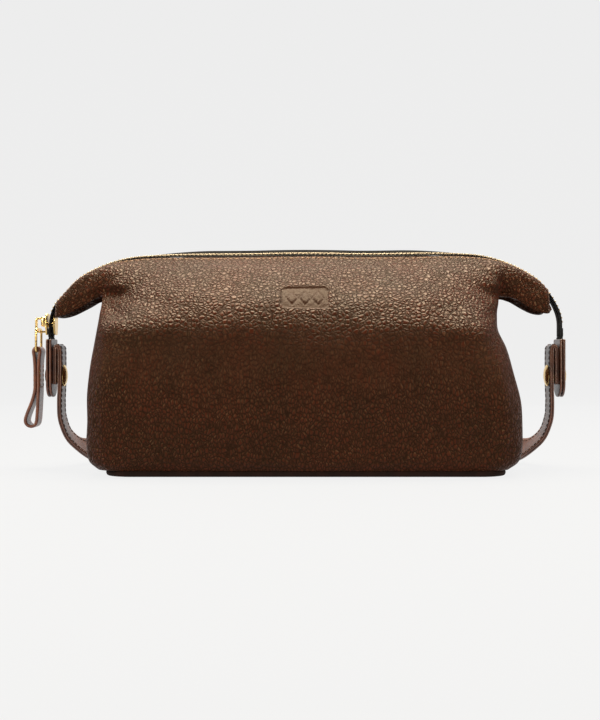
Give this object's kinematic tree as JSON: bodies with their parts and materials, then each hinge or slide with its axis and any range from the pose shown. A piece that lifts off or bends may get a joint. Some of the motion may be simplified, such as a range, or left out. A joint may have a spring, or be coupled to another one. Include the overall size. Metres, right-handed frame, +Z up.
{
  "type": "hanging toiletry bag",
  "caption": "Zip-top leather wash bag with drooping zip ends, side tabs and a handle strap that snaps on.",
  "frame": {"origin": "middle of the base, on the surface that the bag stands on", "axes": "+X along the zip towards the end without the slider, -Y out of the front, +Z up"},
  "size_m": [0.3275, 0.1438, 0.1306],
  "materials": {
    "bag_leather": "pebbled, satin",
    "strap_leather": "smooth, satin",
    "pull_leather": "smooth, satin",
    "lining_cloth": "matte woven",
    "zip_tape": "matte woven",
    "board": "matte",
    "gold_metal": "polished"
  },
  "bodies": {
    "bag": {"base_panel": "bag_leather", "base_board": "board", "lining_base": "lining_cloth", "front_panel": "bag_leather", "back_panel": "bag_leather", "gusset_left": "bag_leather", "gusset_right": "bag_leather", "lining_front": "lining_cloth", "lining_back": "lining_cloth", "lining_left": "lining_cloth", "lining_right": "lining_cloth", "slip_pocket": "lining_cloth", "zip_teeth_front": "gold_metal", "zip_teeth_back": "gold_metal", "zip_tape_front": "zip_tape", "zip_tape_back": "zip_tape", "zip_stops_right": "gold_metal"},
    "zip_slider": {"slider_body": "gold_metal", "slider_bail": "gold_metal"},
    "pull_link": {"pull_link": "gold_metal"},
    "pull_loop": {"pull_loop": "pull_leather"},
    "strap": {"strap_lining": "strap_leather", "strap_outer": "strap_leather", "strap_cap_left": "gold_metal", "strap_cap_right": "gold_metal", "snap_socket_left": "gold_metal", "snap_socket_right": "gold_metal"},
    "tab_left": {"tab_left_outer": "strap_leather", "tab_left_inner": "strap_leather", "tab_cap_left": "gold_metal", "snap_stud_left": "gold_metal", "tape_tail_left": "zip_tape"},
    "tab_right": {"tab_right_outer": "strap_leather", "tab_right_inner": "strap_leather", "tab_cap_right": "gold_metal", "snap_stud_right": "gold_metal", "tape_tail_right": "zip_tape"}
  },
  "joints": [
    {"name": "slider_travel", "type": "hinge", "parent": "bag", "child": "zip_slider", "pos_m": [-0.1315, 0, 0.0866], "axis": [0, 1, 0], "range_deg": [0, 49], "deforming": ["zip_teeth_front", "zip_teeth_back"]},
    {"name": "link_swing", "type": "hinge", "parent": "zip_slider", "child": "pull_link", "pos_m": [-0.1619, 0, 0.08415], "axis": [0, 1, 0], "range_deg": [0, 115]},
    {"name": "pull_swing", "type": "hinge", "parent": "pull_link", "child": "pull_loop", "pos_m": [-0.1619, 0, 0.07065], "axis": [0, 1, 0], "range_deg": [0, 60]},
    {"name": "strap_swing", "type": "hinge", "parent": "bag", "child": "strap", "pos_m": [0, 0, 0.056], "axis": [1, 0, 0], "range_deg": [0, 85]},
    {"name": "tab_left_unsnap", "type": "hinge", "parent": "bag", "child": "tab_left", "pos_m": [-0.154, 0, 0.079], "axis": [0, 1, 0], "range_deg": [0, 5.5]},
    {"name": "tab_right_unsnap", "type": "hinge", "parent": "bag", "child": "tab_right", "pos_m": [0.154, 0, 0.079], "axis": [0, -1, 0], "range_deg": [0, 60]}
  ]
}
